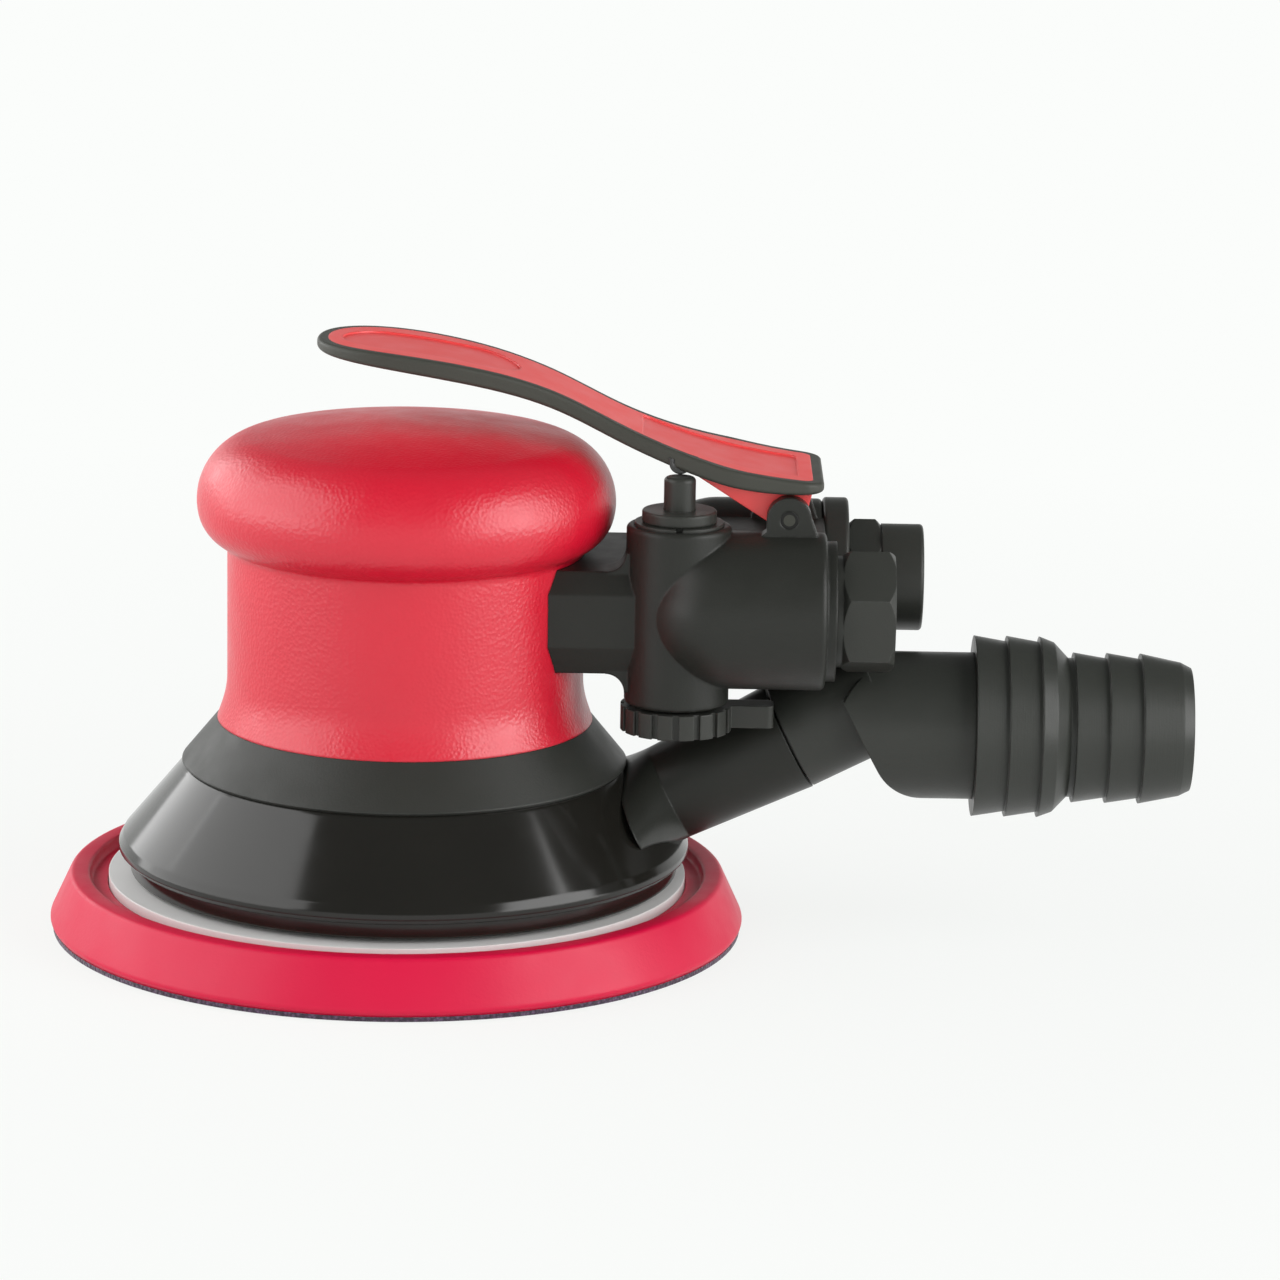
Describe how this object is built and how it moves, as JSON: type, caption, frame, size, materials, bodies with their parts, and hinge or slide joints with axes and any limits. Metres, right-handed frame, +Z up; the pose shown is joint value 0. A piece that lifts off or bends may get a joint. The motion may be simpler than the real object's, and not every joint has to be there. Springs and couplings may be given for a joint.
{
  "type": "orbital sander",
  "caption": "Air-driven random orbital palm sander with a soft domed grip, throttle lever, round hook pad and vacuum shroud with a swivelling hose nozzle.",
  "frame": {"origin": "on the motor axis, in the plane of the pad's working face", "axes": "+X from the motor axis toward the air inlet and the hose nozzle, +Z up along the motor axis, -Y toward the side of the throttle stem"},
  "size_m": [0.2079, 0.127, 0.1093],
  "materials": {
    "black_moulding": "fine satin moulding",
    "grip_red": "soft grained red elastomer",
    "lock_ring_black": "satin moulding",
    "shroud_gloss": "polished moulding",
    "swivel_black": "satin moulding",
    "fitting_black": "black oxide",
    "lever_red": "satin coating",
    "lever_edge": "dull dark edge moulding",
    "foam_red": "dense urethane foam",
    "hook_fabric": "short hook pile",
    "plate_grey": "glass-filled moulding",
    "steel": "turned steel",
    "bearing_steel": "ground bearing steel",
    "spring_steel": "spring temper",
    "end_plate_alloy": "machined",
    "screen_brass": "machined",
    "seal_rubber": "nitrile",
    "felt": "pressed felt",
    "vane_composite": "laminated resin"
  },
  "bodies": {
    "housing": {"motor_housing": "black_moulding", "palm_grip": "grip_red", "lock_ring": "lock_ring_black", "vacuum_shroud": "shroud_gloss", "shroud_retaining_ring": "spring_steel", "brake_seal": "seal_rubber", "vacuum_outlet": "shroud_gloss", "motor_cylinder": "steel", "upper_end_plate": "end_plate_alloy", "lower_end_plate": "end_plate_alloy", "cylinder_dowel": "steel", "upper_bearing_outer": "bearing_steel", "lower_bearing_outer": "bearing_steel", "inlet_bushing": "fitting_black", "inlet_screen": "screen_brass", "exhaust_muffler": "fitting_black", "muffler_felt": "felt", "valve_seat": "screen_brass", "stem_bushing": "fitting_black", "stem_retaining_ring": "fitting_black", "stem_o_ring": "seal_rubber", "regulator_retaining_ring": "spring_steel", "lever_pin": "fitting_black", "valve_spring": "spring_steel"},
    "rotor": {"rotor": "steel", "shaft_balancer": "steel", "rotor_key": "steel", "shaft_snap_ring": "spring_steel", "upper_bearing_inner": "bearing_steel", "lower_bearing_inner": "bearing_steel", "spindle_bearing_outer": "bearing_steel", "spindle_snap_ring": "spring_steel", "vane_1": "vane_composite", "vane_2": "vane_composite", "vane_3": "vane_composite", "vane_4": "vane_composite", "vane_5": "vane_composite"},
    "upper_balls": {"upper_bearing_balls": "bearing_steel"},
    "lower_balls": {"lower_bearing_balls": "bearing_steel"},
    "spindle_balls": {"spindle_bearing_balls": "bearing_steel"},
    "pad": {"spindle": "steel", "spindle_bearing_inner": "bearing_steel", "spindle_screw": "steel", "backing_plate": "plate_grey", "pad_stud": "steel", "pad_foam": "foam_red", "hook_face": "hook_fabric"},
    "lever": {"throttle_lever": "lever_red", "lever_rim": "lever_edge"},
    "stem": {"valve_stem": "fitting_black"},
    "tip_valve": {"tip_valve": "steel"},
    "regulator": {"speed_regulator": "fitting_black", "regulator_o_ring": "seal_rubber"},
    "swivel": {"swivel_elbow": "swivel_black", "hose_nozzle": "swivel_black", "swivel_o_ring": "seal_rubber"}
  },
  "joints": [
    {"name": "rotor_spin", "type": "hinge", "parent": "housing", "child": "rotor", "pos_m": [0, 0, 0.05715], "axis": [0, 0, 1], "continuous": true},
    {"name": "pad_spin", "type": "hinge", "parent": "rotor", "child": "pad", "pos_m": [-0.0012, 0, 0.0239], "axis": [0, 0, 1], "continuous": true},
    {"name": "upper_balls_roll", "type": "hinge", "parent": "housing", "child": "upper_balls", "pos_m": [0, 0, 0.0755], "axis": [0, 0, 1], "continuous": true},
    {"name": "lower_balls_roll", "type": "hinge", "parent": "housing", "child": "lower_balls", "pos_m": [0, 0, 0.039], "axis": [0, 0, 1], "continuous": true},
    {"name": "spindle_balls_roll", "type": "hinge", "parent": "rotor", "child": "spindle_balls", "pos_m": [-0.0012, 0, 0.0239], "axis": [0, 0, 1], "continuous": true},
    {"name": "lever_press", "type": "hinge", "parent": "housing", "child": "lever", "pos_m": [0.0689, 0, 0.0801], "axis": [0, -1, 0], "range_deg": [0, 6], "stiffness_Nm_per_rad": 0.4, "springref_deg": -14.32},
    {"name": "stem_slide", "type": "slide", "parent": "housing", "child": "stem", "axis": [0, 0, -1], "range_m": [0, 0.0021]},
    {"name": "tip_tilt", "type": "hinge", "parent": "housing", "child": "tip_valve", "pos_m": [0.0606, -0.0136, 0.0695], "axis": [0, -1, 0], "range_deg": [0, 12], "deforming": ["valve_spring"]},
    {"name": "regulator_turn", "type": "hinge", "parent": "housing", "child": "regulator", "pos_m": [0.0493, -0.0136, 0.04335], "axis": [0, 0, -1], "range_deg": [0, 90]},
    {"name": "swivel_turn", "type": "hinge", "parent": "housing", "child": "swivel", "pos_m": [0.0701, 0, 0.0366], "axis": [0.891, 0, 0.454], "range_deg": [-35, 18]}
  ],
  "couplings": [
    {"joint": "upper_balls_roll", "follows": "rotor_spin", "ratio": 0.36},
    {"joint": "lower_balls_roll", "follows": "rotor_spin", "ratio": 0.38},
    {"joint": "spindle_balls_roll", "follows": "pad_spin", "ratio": 0.4},
    {"joint": "stem_slide", "follows": "lever_press", "m_per_rad": 0.0192},
    {"joint": "tip_tilt", "follows": "lever_press", "ratio": 1.85}
  ]
}
